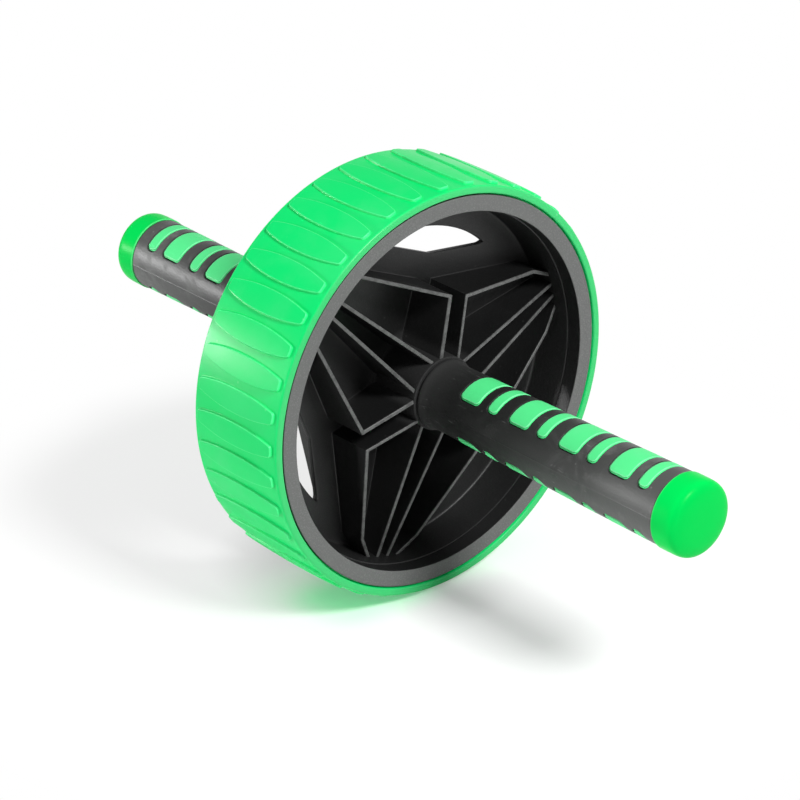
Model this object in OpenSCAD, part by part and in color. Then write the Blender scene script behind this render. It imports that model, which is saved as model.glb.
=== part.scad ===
// Ab wheel roller: one wide wheel runs free on a steel axle between two fixed grips.
// The origin is the middle of the wheel on the axle. The axle lies along Y and Z is up.
// The near grip of the photograph is on the side of negative Y. All sizes are in mm.

/* [Overall] */
// Diameter over the tread pads
tyre_diameter = 180; // [160:1:200]
// Length over both end caps
overall_length = 346; // [320:1:370]
// Width of the flat ring on the wheel, face to face
wheel_width = 50.2; // [44:0.2:58]
// Which sub-part to build

/* [Tyre] */
// Thickness of the tyre between the ring and the top of the pads
tyre_depth = 5.75; // [5:0.05:8]
// Number of tread pads round the tyre
pad_count = 40; // [32:4:48]
// Turn of the first tread pad at rest, in degrees
pad_turn = 7.5; // [0:0.5:9]
// Height of the pads above the tyre
pad_height = 1.1; // [0.6:0.1:1.6]
// Share of the pitch that a pad takes at its middle
pad_share = 0.73; // [0.6:0.01:0.85]
// Distance from the end of a pad to the face of the ring
pad_end_gap = 2.4; // [1.5:0.1:5]
// Share by which a pad narrows from its middle to its ends
pad_taper = 0.54; // [0.3:0.02:0.7]
// Fall of the tread from its middle to the ends of the pads
crown_drop = 0.5; // [0.2:0.05:0.8]
// Rounding of the shoulders
shoulder_r = 1.3; // [0.8:0.1:2.4]

/* [Wheel core] */
// Width of the flat ring in the radial direction
ring_width = 6.9; // [5:0.1:9]
// Thickness of the middle web
web_thickness = 2.5; // [2:0.1:4]
// Thickness of the spoke ribs
rib_thickness = 1.5; // [1.2:0.1:2.2]
// Slope of the rib tops, rise per mm
rib_slope = 0.21; // [0.12:0.01:0.24]
// Turn of the first forked spoke at rest, in degrees
spoke_turn = 74.3; // [60:0.1:90]
// Radius of the hub
hub_r = 15.9; // [15:0.1:18]
// Distance from the axle to the fork of each spoke
fork_along = 40.5; // [36:0.5:44]
// Half the spacing of the two stem ribs
stem_half = 4.6; // [3.5:0.1:6]
// Distance from the axle to the inner edge of a window
window_in = 52; // [50:0.5:54]
// Radius of the outer edge of a window
window_out = 63.8; // [62:0.2:66]
// Half the width of a window
window_half = 29; // [24:0.5:31]

/* [Axle and bearings] */
// Diameter of the axle inside the hub
axle_d = 12; // [10:0.5:14]
// Diameter of the axle inside the grips
grip_axle_d = 10; // [9:0.5:10.5]
// Thread diameter at the ends of the axle
thread_d = 8; // [7:0.5:8.5]
// Running clearance of the bushes on the axle
running_gap = 0.05; // [0.02:0.01:0.1]
// Length of each hub bush below its flange
bush_length = 14; // [10:0.5:20]

/* [Grips] */
// Diameter of the grip next to the wheel
grip_d_in = 28.5; // [27:0.1:32]
// Diameter of the grip at the end cap
grip_d_out = 31.3; // [29:0.1:34]
// Outer diameter of the stiff tube in the grip
tube_d = 22.4; // [21:0.1:23.5]
// Distance from the middle of the wheel to the first wide inlay
inlay_start = 52; // [48:0.5:56]
// Distance from the last inlay to the end cap
inlay_end_gap = 7.25; // [5:0.05:10]
// Distance from a wide inlay to the narrow one beside it, middle to middle
inlay_shift = 13.2; // [11.5:0.1:14]
// Width of a wide inlay
inlay_wide = 10.4; // [8:0.1:11.5]
// Width of a narrow inlay
inlay_narrow = 4.9; // [4:0.1:5.5]
// Half the angle that an inlay covers, in degrees
inlay_angle = 52; // [40:0.5:53]
// Corner radius of the inlays
inlay_corner = 2; // [1:0.1:2.2]
// Width of the dark groove round an inlay
inlay_groove = 0.6; // [0.3:0.05:0.7]
// Turn of each grip on the axle, in degrees
grip_turn = 3.5; // [0:0.5:10]
// Turn of the axle with both grips at rest, in degrees
rest_turn = -2; // [-5:0.5:5]

/* [End caps] */
// Diameter of the end cap
cap_d = 32.2; // [31:0.1:36]
// Length of the end cap outside the grip
cap_length = 13.1; // [11:0.1:16]

/* [Hidden] */
$fn = 96;

// Wheel sizes that follow from the ones above
tread_r = tyre_diameter / 2;
ring_r = tread_r - tyre_depth;
rim_in = ring_r - ring_width;
base_r = tread_r - pad_height;
face = wheel_width / 2;
tyre_face = face + 0.5;
hub_face = face + 0.3;
key_depth = 2.2;
web_half = web_thickness / 2;
rim_draft = 1.7;
rim_step = 0.6;
step_at = face * 0.71;
apex = hub_face + 2.0;
pad_half = face - pad_end_gap;
pad_w = PI * base_r / pad_count * pad_share;
pad_top = sqrt(tread_r * tread_r - pad_w * pad_w);
spoke_count = 3;

// Spoke corners in the plane of the wheel: x runs along the spoke, y across it
hub_in = hub_r - 1.2;
stem_hub = [hub_in, stem_half + 0.3];
stem_fork = [fork_along, stem_half];
arm_out = [rim_in * 0.609, rim_in * 0.652];
arm_end = [rim_in * 0.581, rim_in * 0.816];
ray_hub = [hub_in - 0.4, 6.8];
ray_rim = [rim_in + 0.5, 2.7];

// Bearing sizes
axle_r = axle_d / 2;
grip_axle_r = grip_axle_d / 2;
thread_r = thread_d / 2;
bush_r = axle_r + 3;
flange_r = bush_r + 2;
flange_t = 1.2;
recess_r = flange_r + 1;
washer_t = 1.2;
side_gap = 0.3;
washer_r = flange_r + 0.5;
grip_face = hub_face + 0.3;
washer_in = grip_face - washer_t;
flange_out = washer_in - side_gap;
flange_in = flange_out - flange_t;
bush_in = flange_in - bush_length;

// Grip and cap sizes, measured along the axle from the middle of the wheel
end_y = overall_length / 2;
seam = end_y - cap_length;
tube_r = tube_d / 2;
tube_end = seam - 0.5;
socket_r = tube_r - 2.2;
nut_seat = seam - 9.9;
boss_len = 12;
cover_in = hub_face + 0.4;
grip_r_in = grip_d_in / 2;
grip_r_out = grip_d_out / 2;
flare_r = grip_r_in + 0.95;
band_t = 1;
band_r = tube_r + band_t;
band_half_angle = 63;
band_start = inlay_start - inlay_wide / 2 - 3.2;
inlay_pairs = 4;
last_inlay_end = seam - inlay_end_gap;
inlay_pitch = (last_inlay_end - inlay_narrow / 2 - inlay_shift - inlay_start) / (inlay_pairs - 1);
band_end = last_inlay_end + 2.6;
inlay_floor = grip_r_in * cos(inlay_angle) - 2.2;
inlay_lift = 0.15;
band_gap = 0.08;
end_washer_t = 1.6;
end_washer_r = thread_r + 4;
nut_h = 6.5;
nut_r = 13 / sqrt(3);
thread_end = seam + 1.6;
cap_r = cap_d / 2;
cap_wall = 2.4;
cap_bore = socket_r - 1.3;

// Colours of the materials
green = [0.02, 0.82, 0.30];
dark = [0.16, 0.16, 0.165];
black = [0.07, 0.07, 0.07];
steel = [0.72, 0.73, 0.75];
acetal = [0.9, 0.9, 0.86];

// Radius of the grip at a distance y from the middle of the wheel
function grip_r(y) = grip_r_in + (grip_r_out - grip_r_in) * (y - 33) / (seam - 33);

// Points of a quarter ellipse that ends at [hx, hy]'s sides, for the corner of an outline
corner_steps = 3;
function corner(hx, hy, rx, ry) =
  [for (i = [0 : corner_steps]) [hx - rx + rx * cos(90 * i / corner_steps),
    hy - ry + ry * sin(90 * i / corner_steps)]];

// Whole outline from its first quarter, which runs from the +x side round to the +y side
function back(list) = [for (i = [len(list) - 1 : -1 : 0]) list[i]];
function whole(quarter) = concat(
  quarter, [for (p = back(quarter)) [-p[0], p[1]]],
  [for (p = quarter) [-p[0], -p[1]]], [for (p = back(quarter)) [p[0], -p[1]]]);

// Outline of one tread pad: curved sides and blunt ends, x round the tyre and y across it
pad_steps = 5;
pad_corner = 1;
pad_side = pad_half - pad_corner;
function pad_x(y) = pad_w * (1 - pad_taper * pow(y / pad_half, 2.2));
side_points = [for (i = [0 : pad_steps - 1])
  [pad_x(pad_side * (i + 0.5) / pad_steps), pad_side * (i + 0.5) / pad_steps]];
pad_outline = whole(concat(
  side_points, corner(pad_x(pad_side), pad_half, pad_corner, pad_corner)));

// Fall of the tread at a distance y from its middle
function crown(y) = crown_drop * pow(y / pad_half, 2);

// Turns a profile of radius and distance into a solid round the axle
module round_y(points) {
  rotate([-90, 0, 0])
    rotate_extrude()
      polygon(points);
}

// A ring round the axle between two distances
module ring_y(r_out, r_in, y0, y1) {
  round_y([[r_in, y0], [r_out, y0], [r_out, y1], [r_in, y1]]);
}

// Puts a far-side piece in place with the turn of its grip
module far() {
  rotate([0, -rest_turn - grip_turn, 0])
    children();
}

// Puts a near-side piece on the side of negative Y, turned the other way
module near() {
  rotate([0, grip_turn - rest_turn, 0])
    rotate([0, 0, 180])
      children();
}

// The wheel axle: a turned rod with two shoulders and two threaded ends
module axle() {
  color(steel)
    round_y([
      [0, -thread_end], [thread_r - 0.6, -thread_end], [thread_r, -thread_end + 0.6],
      [thread_r, -nut_seat + 0.5], [grip_axle_r, -nut_seat + 0.5],
      [grip_axle_r, -grip_face], [axle_r, -grip_face],
      [axle_r, grip_face], [grip_axle_r, grip_face],
      [grip_axle_r, nut_seat - 0.5], [thread_r, nut_seat - 0.5],
      [thread_r, thread_end - 0.6], [thread_r - 0.6, thread_end], [0, thread_end]]);
}

// Rim, web and hub of the wheel core in one profile, drawn for one half
rim_half = [
  [ring_r - 0.4, face], [rim_in + 0.4, face], [rim_in, face - 0.4],
  [rim_in, step_at], [rim_in - rim_step, step_at - 0.4],
  [rim_in - rim_draft, web_half + 1.2], [rim_in - rim_draft - 1.2, web_half],
  [hub_r + 1.5, web_half], [hub_r, web_half + 1.5], [hub_r, hub_face - 0.5],
  [hub_r - 0.5, hub_face], [recess_r, hub_face], [recess_r, flange_in],
  [bush_r, flange_in], [bush_r, bush_in], [axle_r + 0.8, bush_in]];
key_half = [
  [ring_r - key_depth, 2.5], [ring_r - key_depth, face * 0.62], [ring_r, face * 0.7],
  [ring_r, face - 0.4]];
function flip(list) = [for (i = [len(list) - 1 : -1 : 0]) [list[i][0], -list[i][1]]];

module core_body() {
  round_y(concat(rim_half, flip(rim_half), flip(key_half),
    [[ring_r, -1], [ring_r, 1]], key_half));
}

// One straight rib wall between two corners, as tall as the whole wheel
module rib(a, b) {
  dx = b[0] - a[0];
  dy = b[1] - a[1];
  len = sqrt(dx * dx + dy * dy);
  translate([a[0], a[1], 0])
    rotate([0, 0, atan2(dy, dx)])
      translate([-rib_thickness * 0.3, -rib_thickness / 2])
        square([len + rib_thickness * 0.6, rib_thickness]);
}

// The ribs of one side of a forked spoke
module half_spoke() {
  rib(stem_hub, stem_fork);
  rib(stem_fork, arm_out);
  rib(arm_out, arm_end);
  rotate([0, 0, 180 / spoke_count])
    rib([ray_hub[0], -ray_hub[1]], [ray_rim[0], -ray_rim[1]]);
}

// All ribs under a roof of three flat slopes on each side
module spokes() {
  intersection() {
    linear_extrude(height = 2 * hub_face, center = true)
      for (k = [0 : spoke_count - 1])
        rotate([0, 0, spoke_turn + 360 * k / spoke_count]) {
          half_spoke();
          mirror([0, 1])
            half_spoke();
        }
    rotate([0, 0, spoke_turn])
      union() {
        cylinder(h = apex, r1 = 2 * apex / rib_slope, r2 = 0, $fn = spoke_count);
        mirror([0, 0, 1])
          cylinder(h = apex, r1 = 2 * apex / rib_slope, r2 = 0, $fn = spoke_count);
      }
  }
}

// Outline of a window: a shallow chevron towards the hub and short slanted ends
window_rise = window_half * 0.137;
window_points = [[window_in, 0], [window_in + window_rise * 0.94, window_half * 0.94],
  [window_in + window_rise * 1.15, window_half],
  [window_in + window_rise * 1.15 + 8, window_half * 0.72],
  [window_out + 6, 0],
  [window_in + window_rise * 1.15 + 8, -window_half * 0.72],
  [window_in + window_rise * 1.15, -window_half],
  [window_in + window_rise * 0.94, -window_half * 0.94]];

module windows() {
  for (k = [0 : spoke_count - 1])
    rotate([0, 0, spoke_turn + 360 * k / spoke_count])
      intersection() {
        cylinder(h = 2 * web_half + 2, r = window_out, center = true);
        linear_extrude(height = 2 * web_half + 1, center = true)
          polygon(window_points);
      }
}

// The moulded wheel core
module wheel_core() {
  color(dark)
    difference() {
      union() {
        core_body();
        rotate([90, 0, 0])
          difference() {
            spokes();
            cylinder(h = 3 * hub_face, r = hub_r - 1, center = true);
          }
      }
      rotate([90, 0, 0])
        windows();
    }
}

// The rubber tyre: a ring that fills the two key grooves of the core, with raised pads
shoulder_y = tyre_face - shoulder_r;
tread_steps = 4;
tread_points = [for (i = [0 : tread_steps - 1])
  [base_r - crown(shoulder_y * i / tread_steps), shoulder_y * i / tread_steps]];
tyre_half = concat(
  tread_points,
  corner(base_r - crown(shoulder_y), tyre_face, shoulder_r, shoulder_r),
  [[ring_r + 0.65, tyre_face - 0.05], [ring_r, face - 0.4]]);
pad_crown = concat(
  [[-face, base_r - 2.2], [face, base_r - 2.2]],
  [for (i = [tread_steps : -1 : -tread_steps])
    [face * i / tread_steps, pad_top - crown(face * i / tread_steps)]]);

module tread_pad() {
  intersection() {
    linear_extrude(height = tread_r + 5)
      polygon(pad_outline);
    rotate([90, 0, 90])
      linear_extrude(height = 3 * pad_w, center = true)
        polygon(pad_crown);
  }
}

module tyre() {
  color(green)
    union() {
      round_y(concat(tyre_half,
        [[ring_r, face * 0.7], [ring_r - key_depth, face * 0.62],
         [ring_r - key_depth, 2.5], [ring_r, 1], [ring_r, -1],
         [ring_r - key_depth, -2.5], [ring_r - key_depth, -face * 0.62],
         [ring_r, -face * 0.7]],
        flip([for (i = [1 : len(tyre_half) - 1]) tyre_half[i]])));
      for (k = [0 : pad_count - 1])
        rotate([0, 90 - pad_turn - 360 * k / pad_count, 0])
          tread_pad();
    }
}

// Flanged bush pressed into the hub, running on the axle
module hub_bush() {
  bore = axle_r + running_gap;
  round_y([[bore, bush_in], [bush_r, bush_in], [bush_r, flange_in],
    [flange_r, flange_in], [flange_r, flange_out], [bore, flange_out]]);
}

// Thin washer that takes the side push of the wheel
module thrust_washer() {
  ring_y(washer_r, axle_r, washer_in, grip_face);
}

// Stiff tube of a grip with a boss at each end
module grip_tube() {
  bore_in = tube_r - 2.4;
  round_y([[grip_axle_r, grip_face], [tube_r, grip_face], [tube_r, tube_end],
    [socket_r, tube_end], [socket_r, nut_seat], [grip_axle_r, nut_seat],
    [grip_axle_r, nut_seat - boss_len], [bore_in, nut_seat - boss_len],
    [bore_in, grip_face + boss_len], [grip_axle_r, grip_face + boss_len]]);
}

// Plan outline of one inlay, grown by a margin
module inlay_plan(y, w, grow) {
  ry = inlay_corner + grow;
  translate([0, y])
    polygon(whole(corner(grip_r(y) * sin(inlay_angle) + grow, w / 2 + grow, ry * cos(inlay_angle), ry)));
}

// The eight inlay outlines of one row as straight columns
module inlay_columns(grow, base) {
  translate([0, 0, base])
    linear_extrude(height = grip_r_out + 3 - base)
      for (k = [0 : inlay_pairs - 1]) {
        inlay_plan(inlay_start + k * inlay_pitch, inlay_wide, grow);
        inlay_plan(inlay_start + k * inlay_pitch + inlay_shift, inlay_narrow, grow);
      }
}

// Curved band that joins the inlays of one row under the cover, grown by a margin
module inlay_band(r_in, r_out, grow) {
  half_angle = band_half_angle + grow * 5;
  rotate([-90, 0, 0])
    rotate([0, 0, -90 - half_angle])
      rotate_extrude(angle = 2 * half_angle)
        polygon([[r_in, band_start - grow], [r_out + grow, band_start - grow],
          [r_out + grow, band_end + grow], [r_in, band_end + grow]]);
}

// One row of soft inlays: band and raised pads, level with the cover
module inlay_row() {
  union() {
    inlay_band(tube_r, band_r, 0);
    intersection() {
      inlay_columns(0, inlay_floor + inlay_lift);
      round_y([[tube_r + band_t / 2, band_start], [grip_r(band_start) - 0.05, band_start],
        [grip_r(band_end) - 0.05, band_end], [tube_r + band_t / 2, band_end]]);
    }
  }
}

// Soft cover with a window round each inlay and a small lip next to the wheel
module grip_cover() {
  difference() {
    round_y([[tube_r, cover_in], [flare_r - 0.4, cover_in], [flare_r, cover_in + 0.4],
      [flare_r, cover_in + 1.4], [grip_r_in + 0.35, cover_in + 3.4],
      [grip_r_in, cover_in + 7], [grip_r_out, seam - 0.3], [grip_r_out - 0.3, seam],
      [tube_r, seam]]);
    for (a = [0, 180])
      rotate([0, a, 0]) {
        inlay_band(tube_r - 1, band_r, band_gap);
        inlay_columns(inlay_groove, inlay_floor);
      }
  }
}

// Washer and lock nut that clamp the tube against the shoulder of the axle
module end_washer() {
  ring_y(end_washer_r, thread_r, nut_seat, nut_seat + end_washer_t);
}

module lock_nut() {
  rotate([-90, 0, 0])
    translate([0, 0, nut_seat + end_washer_t])
      difference() {
        intersection() {
          cylinder(h = nut_h, r = nut_r, $fn = 6);
          cylinder(h = nut_h, r1 = nut_r + nut_h - 0.6, r2 = nut_r - 0.6);
        }
        translate([0, 0, -1])
          cylinder(h = nut_h + 2, r = thread_r);
      }
}

// Radius of the cap at a share t of its length
function cap_curve(t) = cap_r * pow(1 - pow(t, 8.4), 1 / 3.2);
cap_steps = 14;
cap_straight = 0.5;
cap_shares = [for (i = [1 : cap_steps - 1]) pow(sin(90 * i / cap_steps), 2 / 8.4)];

// Domed end cap with a spigot that is pressed into the tube
module end_cap() {
  round_y(concat(
    [[cap_bore, seam - 6], [socket_r - 0.4, seam - 6], [socket_r, seam - 5.6],
     [socket_r, seam], [cap_r - 0.35, seam], [cap_r, seam + 0.35]],
    [[cap_r, seam + cap_length * cap_straight]],
    [for (t = cap_shares) [cap_curve(t), seam + cap_length * t]],
    [[0, end_y], [0, end_y - cap_wall],
     [cap_bore - 3, end_y - cap_wall], [cap_bore, end_y - cap_wall - 3]]));
}

module hub_bush_near() { color(acetal) near() hub_bush(); }
module hub_bush_far() { color(acetal) far() hub_bush(); }
module thrust_washer_near() { color(acetal) near() thrust_washer(); }
module thrust_washer_far() { color(acetal) far() thrust_washer(); }
module grip_tube_near() { color(dark) near() grip_tube(); }
module grip_tube_far() { color(dark) far() grip_tube(); }
module inlay_top_near() { color(green) near() inlay_row(); }
module inlay_under_near() { color(green) near() rotate([0, 180, 0]) inlay_row(); }
module inlay_top_far() { color(green) far() inlay_row(); }
module inlay_under_far() { color(green) far() rotate([0, 180, 0]) inlay_row(); }
module grip_cover_near() { color(black) near() grip_cover(); }
module grip_cover_far() { color(black) far() grip_cover(); }
module end_washer_near() { color(steel) near() end_washer(); }
module end_washer_far() { color(steel) far() end_washer(); }
module lock_nut_near() { color(steel) near() lock_nut(); }
module lock_nut_far() { color(steel) far() lock_nut(); }
module end_cap_near() { color(green) near() end_cap(); }
module end_cap_far() { color(green) far() end_cap(); }

axle();
wheel_core();
tyre();
hub_bush_near();
hub_bush_far();
thrust_washer_near();
thrust_washer_far();
grip_tube_near();
grip_tube_far();
inlay_top_near();
inlay_under_near();
inlay_top_far();
inlay_under_far();
grip_cover_near();
grip_cover_far();
end_washer_near();
end_washer_far();
lock_nut_near();
lock_nut_far();
end_cap_near();
end_cap_far();
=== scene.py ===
"""Dressed model of an ab wheel roller: surfaces for each visible piece, materials, floor, lamps and camera.

Lengths inside the shape functions are in millimetres and become metres when a mesh is made.
The axle lies along Y, an angle of the wheel is measured from +X towards +Z.
"""

import bmesh
import bpy
import numpy as np
from bpy.props import FloatProperty, FloatVectorProperty, PointerProperty
from bpy.types import Operator, Panel, PropertyGroup
from mathutils import Matrix, Vector


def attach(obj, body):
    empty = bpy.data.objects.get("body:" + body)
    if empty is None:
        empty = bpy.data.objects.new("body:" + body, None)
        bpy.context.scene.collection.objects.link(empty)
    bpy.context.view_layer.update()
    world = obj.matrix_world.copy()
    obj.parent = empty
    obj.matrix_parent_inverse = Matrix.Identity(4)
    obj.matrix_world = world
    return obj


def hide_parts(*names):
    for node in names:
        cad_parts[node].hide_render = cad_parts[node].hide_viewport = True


bl_info = {
    "name": "Ab wheel roller",
    "version": (1, 0, 0),
    "blender": (4, 5, 0),
    "location": "View3D > Sidebar > Roller",
    "description": "Builds the tyre, wheel core, grips and caps of an ab wheel roller and a plain stage",
    "category": "Add Mesh",
}

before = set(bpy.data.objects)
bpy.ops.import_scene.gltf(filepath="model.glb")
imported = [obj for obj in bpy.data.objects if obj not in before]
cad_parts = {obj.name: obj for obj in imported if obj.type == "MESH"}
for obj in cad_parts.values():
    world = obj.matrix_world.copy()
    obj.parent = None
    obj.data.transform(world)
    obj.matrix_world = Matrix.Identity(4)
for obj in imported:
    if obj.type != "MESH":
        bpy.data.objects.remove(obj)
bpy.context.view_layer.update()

# Sizes in millimetres, measured from the wheel's middle, and angles in degrees.
MM = 0.001
SIDES = (("near", -1), ("far", 1))

# Tyre, with its pads and the cell round each pad.
BASE_R = 88.9
SHOULDER_Y = 24.5
SHOULDER_ROUND = 1.1
PAD_COUNT = 40
PAD_TURN = 7.5
PAD_HALF = 22.7
PAD_WIDE = 5.097
PAD_BEND = 0.54
PAD_CORNER = 1.6
CELL_HALF = 23.9

# Wheel core: ring, rim wall, web, hub with the seats of its bushes, ribs and windows.
RING_R = 84.25
RIM_R = 77.35
FACE = 25.1
STEP_Y = FACE * 0.71
WEB_HALF = 1.25
WEB_ROUND = 2.9
HUB_R = 15.9
HUB_FACE = 25.4
HUB_ROUND = 1.6
FLANGE_R, FLANGE_Y = 12.0, 22.9
BUSH_R, BUSH_Y = 9.0, 8.9
BORE_R = 6.8
KEY_R = RING_R - 2.2
KEY_PROFILE = [[RING_R, 17.57], [KEY_R, 15.56], [KEY_R, 2.5], [RING_R, 1.0]]
SPOKE_TURN = 74.3
THIRD = 2 * np.pi / 3
RIB_THICK = 1.5
ROOF_APEX = 27.4
ROOF_SLOPE = 0.21
WINDOW_OUT = 63.8

# Grips: taper of the cover, its windows and inlays, and the cap.
GRIP_TURNS = {"near": -5.5, "far": 1.5}
COVER_IN = 25.8
FLARE_Y, FLARE_LONG, FLARE_RISE = 32.6, 6.0, 1.15
TAPER_Y, TAPER_R, TAPER_RISE = 33.0, 14.25, 1.4
RIDGE_RISE, RIDGE_WIDE = 0.09, 0.14
MM_PER_DEGREE = 0.26
SEAM = 159.9
SEAM_SOFT = 0.35
END_Y = 173.0
CAP_R = 16.1
CAP_BORE = 7.7
TUBE_R = 11.2
SOCKET_R = 9.0
FLOOR_R = 12.2
INLAY_START = 52.0
INLAY_STEP = 28.333
INLAY_SHIFT = 13.2
INLAY_WIDE = 5.2
INLAY_NARROW = 2.45
INLAY_ANGLE = 52.0
INLAY_CORNER = 2.0
WINDOW_DEEP = 1.2
GROOVE = 0.6
CELL_ANGLE = 62.0

# Stage, in metres and degrees: floor, and the camera's place, line of sight (azimuth, elevation) and lens.
FLOOR_Z = -0.09
CAMERA_AWAY, CAMERA_PLACE = 1.5236, (-41.53673, 25.94061)
CAMERA_LOOK = (-41.5034, 26.35467)
CAMERA_LENS = 167.105


# Settings that a user may change.

def length(name, description, default, low, high):
    """Length property from values in millimetres."""
    return FloatProperty(name=name, description=description, default=default * MM, min=low * MM, max=high * MM,
                         unit="LENGTH")


def colour_of(name, description, default):
    """Colour property with three parts from 0 to 1."""
    return FloatVectorProperty(name=name, description=description, default=default, size=3, min=0.0, max=1.0,
                               subtype="COLOR")


class TyreSettings(PropertyGroup):
    """Sizes and colour of the green tyre."""

    pad_height: length("Pad height", "Height of a tread pad at the middle of the tyre", 1.05, 0.0, 1.1)
    colour: colour_of("Tyre colour", "Base colour of the tyre rubber", (0.0, 0.68, 0.15))


class CoreSettings(PropertyGroup):
    """Sizes and colour of the dark wheel core."""

    edge: length("Rib edge", "Rounding of the top edges of the ribs", 0.3, 0.05, 0.6)
    colour: colour_of("Core colour", "Base colour of the moulded core", (0.0085, 0.0087, 0.0087))


class GripSettings(PropertyGroup):
    """Colours and small sizes of the two grips."""

    inlay_rise: length("Inlay rise", "How far the inlays stand above the cover", 0.06, -0.3, 0.3)
    cover_colour: colour_of("Cover colour", "Base colour of the soft cover", (0.012, 0.0124, 0.012))
    inlay_colour: colour_of("Inlay colour", "Base colour of the soft inlays", (0.085, 0.76, 0.25))
    cap_colour: colour_of("Cap colour", "Base colour of the end caps", (0.0, 0.63, 0.085))


class StageSettings(PropertyGroup):
    """Floor and light."""

    key_power: FloatProperty(
        name="Main lamp", description="Power of the main lamp", default=32.5, min=0.0, unit="POWER")
    side_power: FloatProperty(
        name="Side lamp", description="Power of the low lamp behind the wheel", default=12.5, min=0.0,
        unit="POWER")
    fill: FloatProperty(
        name="Fill", description="Strength of the even light from the sky", default=0.42, min=0.0, max=2.0)


# Meshes from grids of points.

def around(r, a, y):
    """Points at a radius, an angle in radians and a distance along the axle: (r cos a, y, r sin a)."""
    return np.stack(np.broadcast_arrays(r * np.cos(a), y, r * np.sin(a)), -1)


def turned(profile, angles):
    """Profile points (radius, distance along the axle) carried round the axle to every angle in degrees."""
    profile = np.asarray(profile, float)
    return around(profile[:, :1], np.radians(np.asarray(angles, float)), profile[:, 1:])


def rotated(points, a):
    """Points of a plane turned by an angle in radians."""
    x, y = np.asarray(points, float).T
    return np.stack([x * np.cos(a) - y * np.sin(a), x * np.sin(a) + y * np.cos(a)], -1)


def both_sides(profile):
    """A profile from the near or far side to the middle plane, and on as its mirror image."""
    return np.concatenate([profile, np.asarray(profile)[::-1] * [1, -1]])


def bend(first, corner, last, count):
    """Parabola between two points: (1-s)^2 first + 2s(1-s) corner + s^2 last, for s from 0 to 1."""
    s = np.linspace(0, 1, count)[:, None]
    return (1 - s) ** 2 * first + 2 * s * (1 - s) * corner + s ** 2 * last


def rounded(corners, reach, steps=5, support=0.25):
    """Closed polyline whose corners become parabola arcs that start at `reach` from each corner.

    Point = corner + (1-s)^2 reach back + s^2 reach ahead, with back and ahead the unit directions to the
    neighbours; a support point on each side keeps the flats flat when they are shaded smooth.
    """
    corners = np.asarray(corners, float)
    reach = np.broadcast_to(np.asarray(reach, float), len(corners))[:, None]
    back = np.roll(corners, 1, 0) - corners
    ahead = np.roll(corners, -1, 0) - corners
    back_len = np.linalg.norm(back, axis=1, keepdims=True)
    ahead_len = np.linalg.norm(ahead, axis=1, keepdims=True)
    s = np.linspace(0, 1, steps + 1)[:, None, None]
    arc = corners + (1 - s) ** 2 * reach * back / back_len + s ** 2 * reach * ahead / ahead_len
    first = corners + np.minimum(reach + support, back_len * 0.48) * back / back_len
    last = corners + np.minimum(reach + support, ahead_len * 0.48) * ahead / ahead_len
    loop = np.concatenate([first[None], arc, last[None]]).transpose(1, 0, 2).reshape(-1, 2)
    apart = np.linalg.norm(loop - np.roll(loop, 1, 0), axis=1) > 1e-5
    return loop[apart]


def closed(loop):
    """A loop of points with its first point again at the end."""
    return np.concatenate([loop, loop[:1]])


def grown(loop, outwards):
    """A closed loop in a plane moved sideways by a distance along its own normals."""
    step = np.roll(loop[:-1], -1, 0) - np.roll(loop[:-1], 1, 0)
    normal = np.stack([step[:, 1], -step[:, 0]], -1)
    normal = closed(normal / np.linalg.norm(normal, axis=1, keepdims=True))
    return loop + outwards * normal


def quarter_to_loop(quarter):
    """Points from +x round to +y, mirrored into a closed loop."""
    left = quarter[::-1][1:] * [-1, 1]
    under = quarter[1:] * [-1, -1]
    right = quarter[::-1][1:] * [1, -1]
    return np.concatenate([quarter, left, under, right])


def between(first, last, shares, *values):
    """Rows on the way from one loop of points to another, each followed by the same further values."""
    return [(first + (last - first) * share, *values) for share in shares]


def columns(table):
    """The columns of a table of rows: the loops of points, then every further value, at each point."""
    points, *others = zip(*table)
    points = np.array(points)
    return points, *(np.array(values, float)[:, None] * np.ones(points.shape[1]) for values in others)


def quads(index):
    """Four-sided faces between the neighbouring points of grids of point numbers."""
    return np.stack([index[..., :-1, :-1], index[..., 1:, :-1], index[..., 1:, 1:], index[..., :-1, 1:]], -1)


def mesh_from_patches(name, patches, marks):
    """One mesh from grids of points in millimetres, shaped (copies, rows, columns, 3) or (rows, columns, 3).

    A mark from 0 to 1 at each point, or one for a whole grid, is kept as an attribute: the mask of the painted edge
    light, painted highlights on most pieces and painted shade on the cover.
    """
    points, faces, values, start = [], [], [], 0
    for patch, mark in zip(patches, marks):
        block = patch.reshape(-1, *patch.shape[-3:])
        index = start + np.arange(block[..., 0].size).reshape(block.shape[:-1])
        faces.append(quads(index).reshape(-1, 4))
        points.append(block.reshape(-1, 3))
        values.append(np.broadcast_to(mark, block.shape[:-1]).reshape(-1))
        start += index.size
    return mesh_from_arrays(name, np.concatenate(points), np.concatenate(faces), np.concatenate(values))


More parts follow.
